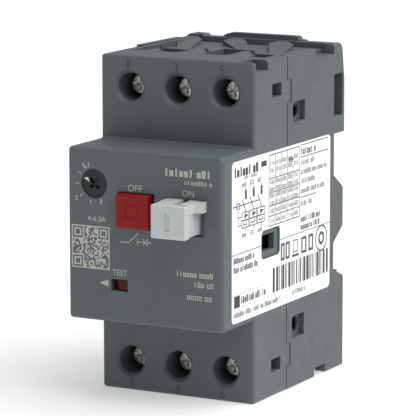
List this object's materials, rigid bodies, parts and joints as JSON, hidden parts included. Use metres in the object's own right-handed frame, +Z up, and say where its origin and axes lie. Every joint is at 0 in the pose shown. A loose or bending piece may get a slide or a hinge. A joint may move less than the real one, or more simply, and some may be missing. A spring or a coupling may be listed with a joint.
{
  "type": "motor protection breaker",
  "caption": "Modular rail-mounted manual motor protection breaker with push buttons, a current setting dial, a test slider and screw terminals at top and bottom.",
  "frame": {"origin": "centre of the flat seat that rests on the front of a 35 mm rail, on the width and height centre lines", "axes": "+X to the right seen from the front, -Y out of the front towards the operator, +Z up"},
  "size_m": [0.045, 0.0792, 0.0902],
  "materials": {
    "cover_plastic": "fine-grained moulded polyamide, dark grey",
    "base_plastic": "fine-grained moulded polyamide, dark grey",
    "label_film": null,
    "on_button_plastic": "light grey moulded plastic",
    "off_button_plastic": "red moulded plastic",
    "slider_plastic": "dark red moulded plastic",
    "dial_plastic": "black moulded plastic",
    "lever_plastic": "black glass-filled plastic",
    "carrier_plastic": "brown phenolic",
    "clip_plastic": "black plastic",
    "bobbin_plastic": "natural nylon",
    "frame_steel": "zinc-plated sheet",
    "yoke_steel": "bright plated steel",
    "arc_plate_steel": "plated steel plates",
    "bimetal_strip": "rolled bimetal",
    "screw_steel": "nickel-plated steel",
    "cage_steel": "nickel-plated steel",
    "spring_steel": "bright spring wire",
    "bar_copper": "copper, lightly tarnished",
    "contact_copper": "copper with silver tips",
    "coil_copper": "lacquered copper wire"
  },
  "bodies": {
    "housing": {"front_cover": "cover_plastic", "rear_base": "base_plastic", "rating_label": "label_film", "mechanism_frame": "frame_steel", "clip_spring": "spring_steel", "on_spring": "spring_steel", "opening_springs": "spring_steel", "terminal_bar_1": "bar_copper", "terminal_bar_2": "bar_copper", "terminal_bar_3": "bar_copper", "terminal_bar_4": "bar_copper", "terminal_bar_5": "bar_copper", "terminal_bar_6": "bar_copper", "arc_chute_1": "arc_plate_steel", "coil_bobbin_1": "bobbin_plastic", "magnet_coil_1": "coil_copper", "magnet_yoke_1": "yoke_steel", "bimetal_1": "bimetal_strip", "arc_chute_2": "arc_plate_steel", "coil_bobbin_2": "bobbin_plastic", "magnet_coil_2": "coil_copper", "magnet_yoke_2": "yoke_steel", "bimetal_2": "bimetal_strip", "arc_chute_3": "arc_plate_steel", "coil_bobbin_3": "bobbin_plastic", "magnet_coil_3": "coil_copper", "magnet_yoke_3": "yoke_steel", "bimetal_3": "bimetal_strip"},
    "on_push": {"on_button": "on_button_plastic"},
    "off_push": {"off_button": "off_button_plastic"},
    "rocker_lever": {"rocker": "lever_plastic"},
    "carrier": {"contact_carrier": "carrier_plastic", "moving_contact_1": "contact_copper", "moving_contact_2": "contact_copper", "moving_contact_3": "contact_copper"},
    "dial": {"current_dial": "dial_plastic"},
    "trip": {"trip_bar": "lever_plastic", "test_slider": "slider_plastic"},
    "rail_clip": {"din_clip": "clip_plastic"},
    "striker_1": {"plunger_1": "yoke_steel"},
    "striker_2": {"plunger_2": "yoke_steel"},
    "striker_3": {"plunger_3": "yoke_steel"},
    "screw_1": {"terminal_screw_1": "screw_steel"},
    "cage_1": {"clamp_cage_1": "cage_steel"},
    "screw_2": {"terminal_screw_2": "screw_steel"},
    "cage_2": {"clamp_cage_2": "cage_steel"},
    "screw_3": {"terminal_screw_3": "screw_steel"},
    "cage_3": {"clamp_cage_3": "cage_steel"},
    "screw_4": {"terminal_screw_4": "screw_steel"},
    "cage_4": {"clamp_cage_4": "cage_steel"},
    "screw_5": {"terminal_screw_5": "screw_steel"},
    "cage_5": {"clamp_cage_5": "cage_steel"},
    "screw_6": {"terminal_screw_6": "screw_steel"},
    "cage_6": {"clamp_cage_6": "cage_steel"}
  },
  "joints": [
    {"name": "on_press", "type": "slide", "parent": "housing", "child": "on_push", "axis": [0, 1, 0], "range_m": [0, 0.006], "stiffness_N_per_m": 150, "springref_m": -0.003, "deforming": ["on_spring"]},
    {"name": "off_press", "type": "slide", "parent": "housing", "child": "off_push", "axis": [0, 1, 0], "range_m": [-0.0042, 0]},
    {"name": "rocker_turn", "type": "hinge", "parent": "housing", "child": "rocker_lever", "pos_m": [0.00313, -0.048, 0.0065], "axis": [0, 0, 1], "range_deg": [0, 44.3]},
    {"name": "carrier_slide", "type": "slide", "parent": "housing", "child": "carrier", "axis": [0, 1, 0], "range_m": [0, 0.0029], "deforming": ["opening_springs"]},
    {"name": "dial_turn", "type": "hinge", "parent": "housing", "child": "dial", "pos_m": [-0.0149, -0.062, 0.0132], "axis": [0, -1, 0], "range_deg": [-37, 144]},
    {"name": "test_push", "type": "slide", "parent": "housing", "child": "trip", "axis": [1, 0, 0], "range_m": [-0.0018, 0], "stiffness_N_per_m": 100, "springref_m": 0.002},
    {"name": "clip_pull", "type": "slide", "parent": "housing", "child": "rail_clip", "axis": [0, 0, 1], "range_m": [-0.0035, 0], "stiffness_N_per_m": 400, "springref_m": 0.003, "deforming": ["clip_spring"]},
    {"name": "strike_1", "type": "slide", "parent": "housing", "child": "striker_1", "axis": [0, 1, 0], "range_m": [0, 0.001], "stiffness_N_per_m": 60, "springref_m": -0.002},
    {"name": "strike_2", "type": "slide", "parent": "housing", "child": "striker_2", "axis": [0, 1, 0], "range_m": [0, 0.001], "stiffness_N_per_m": 60, "springref_m": -0.002},
    {"name": "strike_3", "type": "slide", "parent": "housing", "child": "striker_3", "axis": [0, 1, 0], "range_m": [0, 0.001], "stiffness_N_per_m": 60, "springref_m": -0.002},
    {"name": "screw_1_turn", "type": "hinge", "parent": "housing", "child": "screw_1", "pos_m": [-0.0139, -0.04, 0.0363], "axis": [0, 1, 0], "range_deg": [0, 2400]},
    {"name": "cage_1_close", "type": "slide", "parent": "housing", "child": "cage_1", "axis": [0, -1, 0], "range_m": [0, 0.004]},
    {"name": "screw_2_turn", "type": "hinge", "parent": "housing", "child": "screw_2", "pos_m": [-0.0139, -0.04, -0.0363], "axis": [0, 1, 0], "range_deg": [0, 2400]},
    {"name": "cage_2_close", "type": "slide", "parent": "housing", "child": "cage_2", "axis": [0, -1, 0], "range_m": [0, 0.004]},
    {"name": "screw_3_turn", "type": "hinge", "parent": "housing", "child": "screw_3", "pos_m": [0, -0.04, 0.0363], "axis": [0, 1, 0], "range_deg": [0, 2400]},
    {"name": "cage_3_close", "type": "slide", "parent": "housing", "child": "cage_3", "axis": [0, -1, 0], "range_m": [0, 0.004]},
    {"name": "screw_4_turn", "type": "hinge", "parent": "housing", "child": "screw_4", "pos_m": [0, -0.04, -0.0363], "axis": [0, 1, 0], "range_deg": [0, 2400]},
    {"name": "cage_4_close", "type": "slide", "parent": "housing", "child": "cage_4", "axis": [0, -1, 0], "range_m": [0, 0.004]},
    {"name": "screw_5_turn", "type": "hinge", "parent": "housing", "child": "screw_5", "pos_m": [0.0139, -0.04, 0.0363], "axis": [0, 1, 0], "range_deg": [0, 2400]},
    {"name": "cage_5_close", "type": "slide", "parent": "housing", "child": "cage_5", "axis": [0, -1, 0], "range_m": [0, 0.004]},
    {"name": "screw_6_turn", "type": "hinge", "parent": "housing", "child": "screw_6", "pos_m": [0.0139, -0.04, -0.0363], "axis": [0, 1, 0], "range_deg": [0, 2400]},
    {"name": "cage_6_close", "type": "slide", "parent": "housing", "child": "cage_6", "axis": [0, -1, 0], "range_m": [0, 0.004]}
  ],
  "couplings": [
    {"joint": "off_press", "follows": "on_press", "ratio": -0.7},
    {"joint": "rocker_turn", "follows": "on_press", "rad_per_m": 128.5},
    {"joint": "carrier_slide", "follows": "on_press", "ratio": 0.48},
    {"joint": "screw_1_turn", "follows": "cage_1_close", "rad_per_m": 10471},
    {"joint": "screw_2_turn", "follows": "cage_2_close", "rad_per_m": 10471},
    {"joint": "screw_3_turn", "follows": "cage_3_close", "rad_per_m": 10471},
    {"joint": "screw_4_turn", "follows": "cage_4_close", "rad_per_m": 10471},
    {"joint": "screw_5_turn", "follows": "cage_5_close", "rad_per_m": 10471},
    {"joint": "screw_6_turn", "follows": "cage_6_close", "rad_per_m": 10471}
  ]
}
